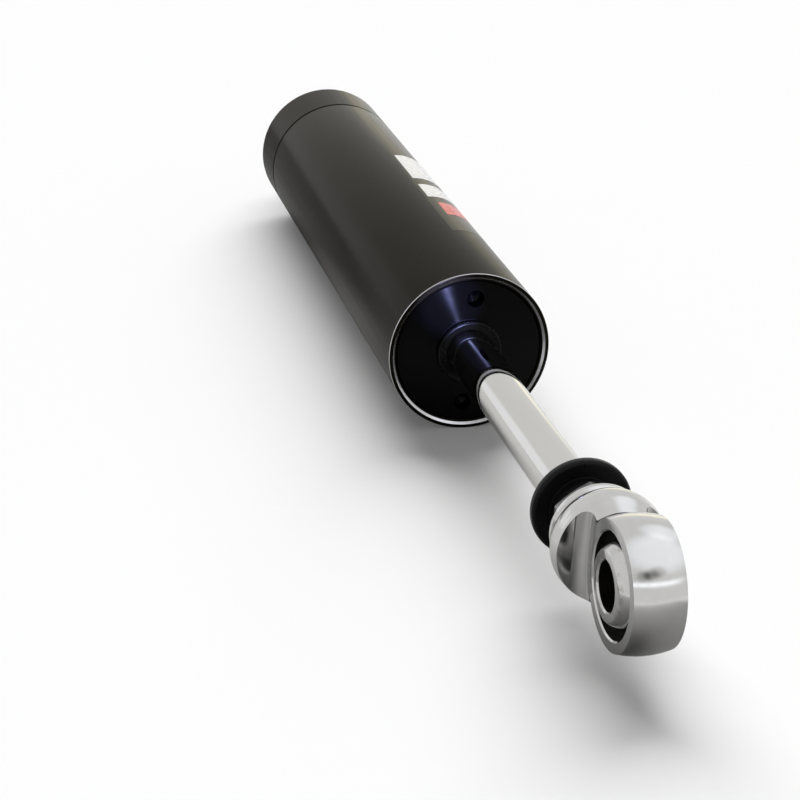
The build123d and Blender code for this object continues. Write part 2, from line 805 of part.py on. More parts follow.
with BuildPart() as rod_end_body:
    with BuildSketch(Plane.XZ) as shank_outline:
        with BuildLine():
            Polyline(
                (rod_end_x, 0),
                (rod_end_x, flange_r - flange_edge),
                (rod_end_x + flange_edge, flange_r),
                (groove_start_x - flange_edge, flange_r),
                (groove_start_x, flange_r - flange_edge),
                (groove_start_x, groove_r),
                (collar_start_x, groove_r),
                (collar_start_x, collar_start_r),
            )
            ThreePointArc(
                (collar_start_x, collar_start_r),
                (
                    (collar_start_x + collar_peak_x) / 2,
                    (collar_start_r + collar_r) / 2 + collar_bulge,
                ),
                (collar_peak_x, collar_r),
            )
            fall = TangentArc(
                (collar_peak_x, collar_r),
                (collar_fall_x, collar_r - collar_fall),
                tangent=(1, 0),
            )
            TangentArc(fall @ 1, (shank_neck_x, shank_neck_r), tangent=fall % 1)
            Polyline(
                (shank_neck_x, shank_neck_r),
                (rod_eye_x - race_bore_r, shank_neck_r),
                (rod_eye_x - race_bore_r, 0),
                (rod_end_x, 0),
            )
        make_face()
    revolve(shank_outline.sketch, axis=Axis.X)

    # Crowned ring, made wide here and trimmed with the shank by the side cuts
    with BuildSketch(Plane.YZ.offset(rod_eye_x)) as ring_outline:
        with BuildLine():
            ring_side_r = ring_r - ring_crown
            Polyline(
                (ring_half_width, ring_side_r),
                (ring_half_width, 0),
                (-ring_half_width, 0),
                (-ring_half_width, ring_side_r),
            )
            ThreePointArc(
                (-ring_half_width, ring_side_r), (0, ring_r), (ring_half_width, ring_side_r)
            )
        make_face()
    revolve(ring_outline.sketch, axis=rod_eye_axis)

    # Wrench flats, and the arc that runs from them to the sides of the ring
    with BuildSketch(Plane.XY) as side_cut:
        with BuildLine():
            Line((flats_x, cut_width), (flats_x, flats_half_width))
            RadiusArc(
                (flats_x, flats_half_width),
                (flats_x + flats_fillet, ring_half_width),
                -flats_fillet,
            )
            Polyline(
                (flats_x + flats_fillet, ring_half_width),
                (rod_eye_x + cut_width, ring_half_width),
                (rod_eye_x + cut_width, cut_width),
                (flats_x, cut_width),
            )
        make_face()
        mirror(about=Plane.XZ)
    extrude(side_cut.sketch, amount=cut_width, both=True, mode=Mode.SUBTRACT)

    # Bore of the race with the groove that locks it, and the threaded socket
    turn_eye(
        [
            (-ring_half_width, 0),
            (-ring_half_width, race_bore_r + race_mouth_chamfer),
            (-ring_half_width + race_mouth_chamfer, race_bore_r),
            (-race_rib_half_width, race_bore_r),
            (-race_rib_half_width, race_bore_r + race_rib_height),
            (race_rib_half_width, race_bore_r + race_rib_height),
            (race_rib_half_width, race_bore_r),
            (ring_half_width - race_mouth_chamfer, race_bore_r),
            (ring_half_width, race_bore_r + race_mouth_chamfer),
            (ring_half_width, 0),
        ],
        rod_eye_x,
        Mode.SUBTRACT,
    )
    turn(
        [
            (rod_end_x, 0),
            (rod_end_x, socket_r),
            (socket_end_x, socket_r),
            (socket_end_x + socket_tip, 0),
        ],
        Mode.SUBTRACT,
    )

with BuildPart() as rod_end_race:
    race(
        rod_eye_x,
        [
            (race_rib_half_width - run_gap, race_bore_r + race_rib_height - run_gap),
            (race_rib_half_width - run_gap, race_bore_r - run_gap),
            (race_half_width, race_bore_r - run_gap),
        ],
        ball_r + run_gap,
    )

with BuildPart() as rod_end_ball:
    ball(rod_eye_x)


# Each piece is written as its own file

pieces = {
    "body_tube": body_tube,
    "base_cap": base_cap,
    "base_oring": base_oring,
    "body_eye_race": body_eye_race,
    "body_eye_ball": body_eye_ball,
    "body_eye_snap_rings": body_eye_snap_rings,
    "foot_valve_body": foot_valve_body,
    "foot_valve_discs": foot_valve_discs,
    "foot_valve_bolt": foot_valve_bolt,
    "foot_valve_cup": foot_valve_cup,
    "foot_valve_nut": foot_valve_nut,
    "foot_check_plate": foot_check_plate,
    "foot_check_spring": foot_check_spring,
    "pressure_tube": pressure_tube,
    "gas_bag": gas_bag,
    "rod_guide": rod_guide,
    "guide_oring": guide_oring,
    "guide_bushing": guide_bushing,
    "rod_seal": rod_seal,
    "rod_wiper": rod_wiper,
    "piston_rod": piston_rod,
    "piston": piston,
    "piston_band": piston_band,
    "compression_discs": compression_discs,
    "rebound_discs": rebound_discs,
    "top_out_washer": top_out_washer,
    "top_out_bumper": top_out_bumper,
    "piston_spacer": piston_spacer_washer,
    "piston_nut": piston_nut_hex,
    "bump_washer": bump_disc,
    "jam_nut": jam_hex,
    "rod_end_body": rod_end_body,
    "rod_end_race": rod_end_race,
    "rod_end_ball": rod_end_ball,
}

os.makedirs("parts", exist_ok=True)
for label, piece in pieces.items():
    piece.part.label = label
    export_step(piece.part, f"parts/{label}.step")
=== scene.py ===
import json
import math

import bmesh
import bpy
from mathutils import Matrix, Vector


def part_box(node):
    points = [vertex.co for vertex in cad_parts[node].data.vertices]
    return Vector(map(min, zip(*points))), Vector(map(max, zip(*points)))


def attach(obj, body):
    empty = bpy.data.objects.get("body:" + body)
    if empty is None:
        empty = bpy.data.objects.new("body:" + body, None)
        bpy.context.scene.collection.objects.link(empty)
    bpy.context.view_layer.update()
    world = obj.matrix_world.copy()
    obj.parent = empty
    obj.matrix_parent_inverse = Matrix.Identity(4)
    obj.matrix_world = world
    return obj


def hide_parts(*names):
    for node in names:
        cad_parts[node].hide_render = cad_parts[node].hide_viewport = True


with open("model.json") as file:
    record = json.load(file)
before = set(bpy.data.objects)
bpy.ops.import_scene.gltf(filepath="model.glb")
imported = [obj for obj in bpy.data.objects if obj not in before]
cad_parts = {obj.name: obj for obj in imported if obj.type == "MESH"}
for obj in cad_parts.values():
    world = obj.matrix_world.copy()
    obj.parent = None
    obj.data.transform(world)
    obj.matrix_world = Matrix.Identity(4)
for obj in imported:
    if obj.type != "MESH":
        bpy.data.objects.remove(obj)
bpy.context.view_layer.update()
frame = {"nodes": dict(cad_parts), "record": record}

# A shock absorber on its side: the dressed pieces, their finishes, the light and the camera.
# Metres and degrees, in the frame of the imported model: +X runs along the rod, +Z is up.

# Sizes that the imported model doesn't give

TUBE_WALL = 0.0024
SEAM_CHAMFER = 0.0007
RIM_EDGE = 0.0004
MOUTH_CHAMFER = 0.0012
MOUTH_BRIGHT = 0.00065
EDGE_BRIGHT = 0.00012
WIPER_BOSS_R = 0.0102
WIPER_ROUND = 0.0009
WIPER_LIP_DROP = 0.0012
STUD_R = 0.00635
PISTON_STUD_R = 0.005
WASHER_THICKNESS = 0.0032
WASHER_ROUND = 0.0011
HUB_R = 0.009
NUT_FLATS = 0.01905
NUT_SIDE_ANGLE = 60.0
NUT_CORNER_ANGLE = 95.0
NUT_CHAMFER_ANGLE = 30.0
NUT_FACE_SHARE = 0.97
BORE_R = 0.00635
BORE_CHAMFER = 0.00045
RUN_GAP = 0.00003
BREAK_EDGE = 0.0002

# How finely the meshes are made

SEGMENTS = 192
ROUND_STEPS = 7
ROUND_REACH = 0.49
BALL_STEPS = 40
BALL_ROUND_SHARE = 0.985
AXIS_R = 1e-5
MERGE_DISTANCE = 1e-7
SHARP_ANGLE = 32.0
NUT_SHARP_ANGLE = 12.0

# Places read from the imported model

tube_low, tube_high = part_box("body_tube")
seam_x, rim_x, body_r = tube_low.x, tube_high.x, tube_high.z
tube_bore_r = body_r - TUBE_WALL
rim_centre = Vector((rim_x, 0, 0))
guide_face_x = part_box("rod_guide")[1].x
wiper_low, wiper_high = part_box("rod_wiper")
rod_low, rod_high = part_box("piston_rod")
rod_r = rod_high.z
rod_shoulder_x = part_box("top_out_washer")[1].x
washer_low, washer_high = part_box("bump_washer")
washer_front_x = washer_low.x + WASHER_THICKNESS
nut_low, nut_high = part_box("jam_nut")
ball_low, ball_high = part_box("rod_end_ball")
rod_eye_x = (ball_low.x + ball_high.x) / 2
floor_z = -body_r


# Shader nodes: every finish, the floor and the sky are built from the same few steps

def new_tree(name):
    """A new material, its tree and its main shader."""
    material = bpy.data.materials.new(name)
    material.use_nodes = True
    tree = material.node_tree
    return material, tree, tree.nodes["Principled BSDF"]


def math_node(tree, operation, first, second=None, clamp=False):
    """One operation. Each of its values is a number or another node's output."""
    node = tree.nodes.new("ShaderNodeMath")
    node.operation = operation
    node.use_clamp = clamp
    for socket, value in zip(node.inputs, (first, second)):
        if value is None:
            continue
        if isinstance(value, (int, float)):
            socket.default_value = value
        else:
            tree.links.new(value, socket)
    return node.outputs[0]


def fold(tree, operation, values):
    """One output from several values: the operation takes them in one by one."""
    total = values[0]
    for value in values[1:]:
        total = math_node(tree, operation, total, value)
    return total


def remap(tree, source, low, high, start=0.3, end=0.7):
    """From low to high while the source goes from start to end, by default as a noise does."""
    node = tree.nodes.new("ShaderNodeMapRange")
    node.inputs["From Min"].default_value = start
    node.inputs["From Max"].default_value = end
    node.inputs["To Min"].default_value = low
    node.inputs["To Max"].default_value = high
    tree.links.new(source, node.inputs["Value"])
    return node.outputs["Result"]


def mix_colour(tree, factor, low, high, blend="MIX"):
    """A colour from low to high. Each of these is a colour or another node's output."""
    node = tree.nodes.new("ShaderNodeMix")
    node.data_type = "RGBA"
    node.blend_type = blend
    for socket, colour in zip(node.inputs[6:8], (low, high)):
        if isinstance(colour, tuple):
            socket.default_value = (*colour, 1)
        else:
            tree.links.new(colour, socket)
    tree.links.new(factor, node.inputs["Factor"])
    return node.outputs[2]


def own_place(tree):
    """X, Y and Z in the piece's own space."""
    place = tree.nodes.new("ShaderNodeTexCoord")
    split = tree.nodes.new("ShaderNodeSeparateXYZ")
    tree.links.new(place.outputs["Object"], split.inputs["Vector"])
    return split.outputs["X"], split.outputs["Y"], split.outputs["Z"]


def axis_distance(tree, axis, centre_x=0.0):
    """The distance from the X axis, or from the line along Y through (centre_x, 0, 0)."""
    x, y, z = own_place(tree)
    side = y if axis == "X" else math_node(tree, "SUBTRACT", x, centre_x)
    squares = [math_node(tree, "MULTIPLY", length, length) for length in (side, z)]
    return math_node(tree, "SQRT", fold(tree, "ADD", squares))


def noise(tree, scale, stretch=(1, 1, 1), detail=3.0, roughness=0.55):
    """A grey noise over the piece's own space, stretched along its axes."""
    place = tree.nodes.new("ShaderNodeTexCoord")
    mapping = tree.nodes.new("ShaderNodeMapping")
    mapping.inputs["Scale"].default_value = stretch
    texture = tree.nodes.new("ShaderNodeTexNoise")
    texture.inputs["Scale"].default_value = scale
    texture.inputs["Detail"].default_value = detail
    texture.inputs["Roughness"].default_value = roughness
    tree.links.new(place.outputs["Object"], mapping.inputs["Vector"])
    tree.links.new(mapping.outputs["Vector"], texture.inputs["Vector"])
    return texture.outputs["Fac"]


def fine_rings(tree, distance, pitch):
    """Turning marks: a noise in one dimension, over a distance."""
    texture = tree.nodes.new("ShaderNodeTexNoise")
    texture.noise_dimensions = "1D"
    texture.inputs["Scale"].default_value = 1.0
    texture.inputs["Detail"].default_value = 2.0
    tree.links.new(math_node(tree, "DIVIDE", distance, pitch), texture.inputs["W"])
    return texture.outputs["Fac"]


def add_colour(tree, shader, factor, low, high):
    """A base colour that a noise moves between two."""
    colour = mix_colour(tree, remap(tree, factor, 0, 1), low, high)
    tree.links.new(colour, shader.inputs["Base Color"])


def add_roughness(tree, shader, factor, low, high):
    """A roughness that a noise moves between two."""
    tree.links.new(remap(tree, factor, low, high), shader.inputs["Roughness"])


def add_bump(tree, shader, height, distance):
    """A relief as deep as the distance."""
    node = tree.nodes.new("ShaderNodeBump")
    node.inputs["Distance"].default_value = distance
    tree.links.new(height, node.inputs["Height"])
    tree.links.new(node.outputs["Normal"], shader.inputs["Normal"])


# Finishes, one for each material slot, and four more for the mouth, the painted shade in the bores
# and the label

PATCH_SCALE = 0.15
STAIN_BROWN = (0.24, 0.21, 0.15)
STAIN_START = 0.56
STAIN_END = 0.72
EYE_MARK_PITCH = 0.00025
GUIDE_MARK_PITCH = 0.00012
MOUTH_MARK_PITCH = 0.00008
QUARTER_TURN = 0.25


def finish(name, low, high, rough, grain, stretch=(1, 1, 1), metallic=0.0, bump=0.0, ior=None):
    """A finish whose colour, roughness and relief vary with a grain."""
    material, tree, shader = new_tree(name)
    shader.inputs["Metallic"].default_value = metallic
    if ior:
        shader.inputs["IOR"].default_value = ior
    patches = noise(tree, grain * PATCH_SCALE, detail=4.0)
    fine = noise(tree, grain, stretch)
    add_colour(tree, shader, patches, low, high)
    add_roughness(tree, shader, fine, *rough)
    if bump:
        add_bump(tree, shader, fine, bump)
    return material


def body_paint():
    """Gloss black coat with a brown cast and a faint lengthwise polish."""
    material, tree, shader = new_tree("body_paint")
    shader.inputs["IOR"].default_value = 1.12
    shader.inputs["Specular Tint"].default_value = (1.0, 0.935, 0.77, 1)
    streaks = noise(tree, 900, stretch=(0.02, 1, 1), detail=2.0)
    patches = noise(tree, 35, stretch=(0.4, 1, 1), detail=5.0)
    add_colour(tree, shader, patches, low=(0.0095, 0.0076, 0.0044), high=(0.0130, 0.0106, 0.0066))
    add_roughness(tree, shader, streaks, low=0.16, high=0.24)
    add_bump(tree, shader, noise(tree, 260, detail=2.0), distance=0.000004)
    return material


def guide_anodise():
    """Black anodised aluminium, turned on its face, so a lamp shows as a radial streak."""
    material, tree, shader = new_tree("guide_anodise")
    shader.inputs["IOR"].default_value = 1.16
    shader.inputs["Anisotropic"].default_value = 1.0
    shader.inputs["Anisotropic Rotation"].default_value = QUARTER_TURN
    tangent = tree.nodes.new("ShaderNodeTangent")
    tangent.direction_type = "RADIAL"
    tangent.axis = "X"
    tree.links.new(tangent.outputs["Tangent"], shader.inputs["Tangent"])
    rings = fine_rings(tree, axis_distance(tree, "X"), GUIDE_MARK_PITCH)
    add_colour(tree, shader, rings, low=(0.0008, 0.0008, 0.0010), high=(0.0016, 0.0016, 0.0020))
    add_roughness(tree, shader, noise(tree, 250, detail=4.0), low=0.16, high=0.19)
    add_bump(tree, shader, rings, distance=0.0000004)
    return material


def hard_chrome():
    """Ground and polished chrome: a mirror with faint marks round the rod."""
    material, tree, shader = new_tree("hard_chrome")
    shader.inputs["Metallic"].default_value = 1.0
    marks = noise(tree, 4000, stretch=(1, 0.03, 0.03), detail=2.0)
    patches = noise(tree, 60, stretch=(0.3, 1, 1), detail=4.0)
    add_colour(tree, shader, patches, low=(0.600, 0.598, 0.590), high=(0.640, 0.638, 0.630))
    add_roughness(tree, shader, patches, low=0.025, high=0.05)
    add_bump(tree, shader, marks, distance=0.00000012)
    return material


def mouth_metal():
    """The bare machined chamfer in the mouth of the tube."""
    material, tree, shader = new_tree("mouth_metal")
    shader.inputs["Metallic"].default_value = 1.0
    rings = fine_rings(tree, axis_distance(tree, "X"), MOUTH_MARK_PITCH)
    add_colour(tree, shader, rings, low=(0.50, 0.50, 0.52), high=(0.66, 0.67, 0.70))
    add_roughness(tree, shader, noise(tree, 300), low=0.14, high=0.24)
    add_bump(tree, shader, rings, distance=0.0000008)
    return material


def steel(name, low, high, rough, eye_x=None, bump=0.000001, stain=0.0):
    """Machined steel, with marks round its eye or else round X, and stains where asked."""
    material, tree, shader = new_tree(name)
    shader.inputs["Metallic"].default_value = 1.0
    colour = mix_colour(tree, remap(tree, noise(tree, 120, detail=5.0), 0, 1), low, high)
    if stain:
        spots = noise(tree, 330, detail=6.0, roughness=0.7)
        amount = remap(tree, spots, 0, stain, STAIN_START, STAIN_END)
        colour = mix_colour(tree, amount, colour, STAIN_BROWN)
    tree.links.new(colour, shader.inputs["Base Color"])
    add_roughness(tree, shader, noise(tree, 700, detail=4.0), *rough)
    if eye_x is None:
        marks = noise(tree, 1800, stretch=(1, 0.08, 0.08))
    else:
        marks = fine_rings(tree, axis_distance(tree, "Y", eye_x), EYE_MARK_PITCH)
    add_bump(tree, shader, marks, bump)
    return material


finishes = {
    "body_paint": body_paint(),
    "guide_anodise": guide_anodise(),
    "hard_chrome": hard_chrome(),
    "black_rubber": finish(
        "black_rubber", low=(0.0016, 0.0017, 0.0022), high=(0.0034, 0.0036, 0.0046),
        rough=(0.24, 0.34), grain=900, bump=0.0000015, ior=1.2,
    ),
    "bump_nylon": finish(
        "bump_nylon", low=(0.0055, 0.0056, 0.0064), high=(0.0095, 0.0097, 0.0110),
        rough=(0.26, 0.38), grain=700, bump=0.000002, ior=1.24,
    ),
    "black_oxide": finish(
        "black_oxide", low=(0.10, 0.10, 0.105), high=(0.38, 0.38, 0.39),
        rough=(0.26, 0.42), grain=1500, stretch=(0.12, 1, 1), metallic=1.0, bump=0.000004,
    ),
    "plated_steel": steel(
        "plated_steel", low=(0.56, 0.56, 0.56), high=(0.62, 0.62, 0.62),
        rough=(0.10, 0.16), eye_x=rod_eye_x,
    ),
    "race_nylon": finish(
        "race_nylon", low=(0.0018, 0.0017, 0.0016), high=(0.0040, 0.0038, 0.0036),
        rough=(0.50, 0.62), grain=800, bump=0.000002, ior=1.07,
    ),
    "ball_steel": steel(
        "ball_steel", low=(0.53, 0.53, 0.53), high=(0.61, 0.61, 0.61),
        rough=(0.07, 0.12), bump=0.0000004, stain=0.55,
    ),
    "race_steel": steel(
        "race_steel", low=(0.42, 0.42, 0.43), high=(0.50, 0.50, 0.51),
        rough=(0.16, 0.24), eye_x=0.0,
    ),
    "spring_steel": finish(
        "spring_steel", low=(0.16, 0.16, 0.18), high=(0.26, 0.26, 0.29),
        rough=(0.25, 0.35), grain=900, metallic=1.0, bump=0.000001,
    ),
    "bronze": finish(
        "bronze", low=(0.36, 0.22, 0.09), high=(0.52, 0.34, 0.15),
        rough=(0.35, 0.50), grain=1500, metallic=1.0, bump=0.000004,
    ),
    "inner_steel": finish(
        "inner_steel", low=(0.36, 0.36, 0.36), high=(0.50, 0.50, 0.50),
        rough=(0.22, 0.34), grain=900, stretch=(1, 0.1, 0.1), metallic=1.0, bump=0.000001,
    ),
    "piston_alloy": finish(
        "piston_alloy", low=(0.52, 0.52, 0.53), high=(0.62, 0.62, 0.63),
        rough=(0.24, 0.34), grain=1200, stretch=(1, 0.1, 0.1), metallic=1.0, bump=0.000001,
    ),
    "band_ptfe": finish(
        "band_ptfe", low=(0.07, 0.12, 0.09), high=(0.11, 0.17, 0.13),
        rough=(0.45, 0.58), grain=900,
    ),
    "bag_film": finish(
        "bag_film", low=(0.44, 0.45, 0.47), high=(0.58, 0.59, 0.61),
        rough=(0.30, 0.45), grain=260, bump=0.00003,
    ),
}
mouth_finish = mouth_metal()
# The bores of the balls are painted near-black: painted shade for the dark inside of the hole, not
# the steel's own colour
bore_shade_finish = finish(
    "bore_painted_shade", low=(0.004, 0.0035, 0.003), high=(0.012, 0.010, 0.008),
    rough=(0.35, 0.5), grain=900, stretch=(1, 0.1, 1), bump=0.000002, ior=1.2,
)
label_white = finish(
    "label_white", low=(0.60, 0.60, 0.61), high=(0.63, 0.63, 0.64),
    rough=(0.22, 0.30), grain=300, ior=1.35,
)
label_red = finish(
    "label_red", low=(0.46, 0.028, 0.032), high=(0.50, 0.036, 0.040),
    rough=(0.22, 0.30), grain=300, ior=1.35,
)
for part in frame["record"]["subparts"]:
    node = frame["nodes"][part["node"]]
    node.data.materials.clear()
    node.data.materials.append(finishes[part["material_slot"]])


# Meshes: outlines turned about an axis, with rounded corners

def rounded(corners):
    """Points of an outline. A corner is (along, radius, round), and a round of 0 stays sharp."""
    points = []
    for number, (along, radius, size) in enumerate(corners):
        here = Vector((along, radius))
        before = Vector(corners[number - 1][:2]) - here
        after = Vector(corners[(number + 1) % len(corners)][:2]) - here
        if size == 0:
            points.append(here)
            continue
        half = before.angle(after) / 2
        reach = min(size / math.tan(half), ROUND_REACH * before.length, ROUND_REACH * after.length)
        round_r = reach * math.tan(half)
        inward = (before.normalized() + after.normalized()).normalized()
        middle = here + inward * round_r / math.sin(half)
        start = here + before.normalized() * reach - middle
        end = here + after.normalized() * reach - middle
        turn = start.normalized().angle_signed(end.normalized())
        for step in range(ROUND_STEPS):
            points.append(middle + Matrix.Rotation(-turn * step / (ROUND_STEPS - 1), 2) @ start)
    return points


def turned(outline_at, axis="X", centre_x=0.0):
    """A bmesh turned about X, or about Y at centre_x. outline_at gives the points at an angle."""
    shape = bmesh.new()
    rings = []
    for number in range(SEGMENTS):
        angle = 2 * math.pi * number / SEGMENTS
        ring = []
        for along, radius in outline_at(angle):
            if axis == "X":
                place = (along, radius * math.cos(angle), radius * math.sin(angle))
            else:
                place = (centre_x + radius * math.cos(angle), along, radius * math.sin(angle))
            ring.append(shape.verts.new(place))
        rings.append(ring)
    count = len(rings[0])
    for number, ring in enumerate(rings):
        following = rings[(number + 1) % SEGMENTS]
        for point in range(count):
            beside = (point + 1) % count
            shape.faces.new((ring[point], following[point], following[beside], ring[beside]))
    bmesh.ops.remove_doubles(shape, verts=shape.verts, dist=MERGE_DISTANCE)
    return shape


def add_piece(name, shape, body, slot, replaced=(), sharp_angle=SHARP_ANGLE):
    """An object from a bmesh, smooth apart from its sharp edges, on its body."""
    bmesh.ops.recalc_face_normals(shape, faces=shape.faces)
    for face in shape.faces:
        face.smooth = True
    for edge in shape.edges:
        edge.smooth = edge.is_manifold and edge.calc_face_angle(0) < math.radians(sharp_angle)
    mesh = bpy.data.meshes.new(name)
    shape.to_mesh(mesh)
    shape.free()
    piece = bpy.data.objects.new(name, mesh)
    bpy.context.scene.collection.objects.link(piece)
    mesh.materials.append(finishes[slot])
    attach(piece, body)
    if replaced:
        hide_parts(*replaced)
    return piece


def turned_piece(name, body, slot, replaced, corners, axis="X", centre_x=0.0):
    """A piece that is the same all round, in the place of its plain node."""
    points = rounded(corners)
    shape = turned(lambda angle: points, axis, centre_x)
    return add_piece(name, shape, body, slot, replaced)


# Body tube, with its bare chamfer at the mouth

tube = turned_piece(
    "outer_tube",
    body="housing",
    slot="body_paint",
    replaced=["body_tube"],
    corners=[
        (seam_x, tube_bore_r, 0),
        (seam_x, body_r - SEAM_CHAMFER, BREAK_EDGE),
        (seam_x + SEAM_CHAMFER, body_r, BREAK_EDGE),
        (rim_x, body_r, RIM_EDGE),
        (rim_x, tube_bore_r + MOUTH_CHAMFER, BREAK_EDGE / 2),
        (rim_x - MOUTH_BRIGHT, tube_bore_r + MOUTH_CHAMFER - MOUTH_BRIGHT, 0),
        (rim_x - MOUTH_CHAMFER, tube_bore_r, BREAK_EDGE / 2),
    ],
)
tube.data.materials.append(mouth_finish)
for face in tube.data.polygons:
    face_x = face.center.x
    face_r = Vector((face.center.y, face.center.z)).length
    in_mouth = face_x > rim_x - MOUTH_BRIGHT and face_r < tube_bore_r + MOUTH_CHAMFER
    on_edge = rim_x - EDGE_BRIGHT > face_x > rim_x - RIM_EDGE and face_r > body_r - 2 * EDGE_BRIGHT
    if in_mouth or on_edge:
        face.material_index = 1

# Wiper: a rounded boss that falls to a lip on the rod

turned_piece(
    "wiper_boss",
    body="housing",
    slot="black_rubber",
    replaced=["rod_wiper"],
    corners=[
        (wiper_low.x, rod_r + RUN_GAP, 0),
        (wiper_low.x, wiper_high.z, 0),
        (guide_face_x - BREAK_EDGE, wiper_high.z, 0),
        (guide_face_x - BREAK_EDGE, WIPER_BOSS_R, 0),
        (wiper_high.x, WIPER_BOSS_R, WIPER_ROUND),
        (wiper_high.x - WIPER_LIP_DROP, rod_r + RUN_GAP, BREAK_EDGE),
    ],
)

# Rod, from the stud in the piston to the stud in the rod end

turned_piece(
    "chromed_rod",
    body="rod",
    slot="hard_chrome",
    replaced=["piston_rod"],
    corners=[
        (rod_low.x, AXIS_R, 0),
        (rod_low.x, PISTON_STUD_R, 2 * BREAK_EDGE),
        (rod_shoulder_x, PISTON_STUD_R, 0),
        (rod_shoulder_x, rod_r, BREAK_EDGE),
        (washer_low.x, rod_r, BREAK_EDGE),
        (washer_low.x, STUD_R, 0),
        (rod_high.x, STUD_R, 3 * BREAK_EDGE),
        (rod_high.x, AXIS_R, 0),
    ],
)

# Bump washer and its hub

turned_piece(
    "bump_disc",
    body="rod",
    slot="bump_nylon",
    replaced=["bump_washer"],
    corners=[
        (washer_low.x, STUD_R + RUN_GAP, 0),
        (washer_low.x, washer_high.z, WASHER_ROUND),
        (washer_front_x, washer_high.z, WASHER_ROUND),
        (washer_front_x, HUB_R, BREAK_EDGE),
        (washer_high.x, HUB_R, BREAK_EDGE),
        (washer_high.x, STUD_R + RUN_GAP, 0),
    ],
)


# Jam nut: six flats, with the corners turned off at both faces

def nut_outline(angle):
    """The nut's outline at an angle round the rod."""
    flat_r = NUT_FLATS / 2
    off_middle = (math.degrees(angle) - NUT_CORNER_ANGLE) % NUT_SIDE_ANGLE - NUT_SIDE_ANGLE / 2
    hex_r = flat_r / math.cos(math.radians(off_middle))
    face_r = flat_r * NUT_FACE_SHARE
    fall = math.tan(math.radians(NUT_CHAMFER_ANGLE)) * (hex_r - face_r)
    return [
        (nut_low.x, STUD_R + RUN_GAP),
        (nut_low.x, face_r),
        (nut_low.x + fall, hex_r),
        (nut_high.x - fall, hex_r),
        (nut_high.x, face_r),
        (nut_high.x, STUD_R + RUN_GAP),
    ]


add_piece("hex_nut", turned(nut_outline), "rod", "black_oxide", ["jam_nut"], NUT_SHARP_ANGLE)


# Balls of the two eyes: a round side between flat faces, and a bore painted near-black as shade

def ball_corners(ball_r, half_width):
    """Corners of a ball's outline, with its round side as many points."""
    face_r = math.sqrt(ball_r ** 2 - half_width ** 2)
    reach = math.asin(half_width / ball_r)
    corners = [(half_width, BORE_R + BORE_CHAMFER, 0), (half_width, face_r - BREAK_EDGE, 0)]
    for step in range(BALL_STEPS + 1):
        angle = reach * (1 - 2 * step / BALL_STEPS) * BALL_ROUND_SHARE
        corners.append((ball_r * math.sin(angle), ball_r * math.cos(angle), 0))
    corners += [
        (-half_width, face_r - BREAK_EDGE, 0),
        (-half_width, BORE_R + BORE_CHAMFER, 0),
        (BORE_CHAMFER - half_width, BORE_R, 0),
        (half_width - BORE_CHAMFER, BORE_R, 0),
    ]
    return corners


def add_ball(name, node, body):
    """A ball in the place of its plain node."""
    low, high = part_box(node)
    centre = (low.x + high.x) / 2
    corners = ball_corners((high.z - low.z) / 2, (high.y - low.y) / 2)
    ball = turned_piece(name, body, "ball_steel", [node], corners, "Y", centre)
    ball.data.materials.append(bore_shade_finish)
    # Faces inside the bore take the painted shade
    for face in ball.data.polygons:
        face_r = Vector((face.center.x - centre, face.center.z)).length
        if face_r < BORE_R + BORE_CHAMFER / 4:
            face.material_index = 1


add_ball("rod_eye_ball", "rod_end_ball", "rod_end_ball")
add_ball("body_eye_pivot_ball", "body_eye_ball", "body_eye_ball")

# Label: a clear film with two white stripes and a red one, all slanted round the tube

LABEL_STEPS = 24
LABEL_SLANT = 0.018
FILM_LIFT = 0.00004
STRIPE_LIFT = 0.00007

# A patch is its name, its start and end behind the rim, its low and high angle round the tube,
# its height over the paint and its finish. start and end are those at the low angle.
LABEL_PATCHES = (
    ("label_film", 0.152, 0.060, 18, 80, FILM_LIFT, finishes["body_paint"]),
    ("label_stripe_wide", 0.146, 0.118, 21, 77, STRIPE_LIFT, label_white),
    ("label_stripe_narrow", 0.111, 0.097, 21, 77, STRIPE_LIFT, label_white),
    ("label_stripe_red", 0.092, 0.079, 22, 72, STRIPE_LIFT, label_red),
)


def label_patch(name, start, end, low_angle, high_angle, lift, material):
    """A thin patch on the tube, slanted towards the rim as it rises."""
    shape = bmesh.new()
    rows = []
    for step in range(LABEL_STEPS + 1):
        share = step / LABEL_STEPS
        angle = math.radians(low_angle + (high_angle - low_angle) * share)
        row = []
        for radius in (body_r, body_r + lift):
            side, up = radius * math.cos(angle), radius * math.sin(angle)
            for behind in (start, end):
                row.append(shape.verts.new((rim_x - behind + LABEL_SLANT * share, side, up)))
        rows.append(row)
    for first, second in zip(rows, rows[1:]):
        for a, b in ((2, 3), (3, 1), (1, 0), (0, 2)):
            shape.faces.new((first[a], first[b], second[b], second[a]))
    for row in (rows[0], rows[-1]):
        shape.faces.new((row[0], row[1], row[3], row[2]))
    patch = add_piece(name, shape, "housing", "body_paint")
    patch.data.materials.clear()
    patch.data.materials.append(material)


for values in LABEL_PATCHES:
    label_patch(*values)

# Floor: white where the camera sees it lit, with the object's shadow kept

scene = bpy.context.scene
scene.view_settings.view_transform = "Standard"

FLOOR_SIZE = 8.0
FLOOR_SEGMENTS = 8
FLOOR_LIFT = 0.09
FLOOR_MIRRORED = (0.30, 0.30, 0.30)
FLOOR_SEEN = (0.80, 0.80, 0.80)
SKY_WARM = (1.0, 0.992, 0.968)

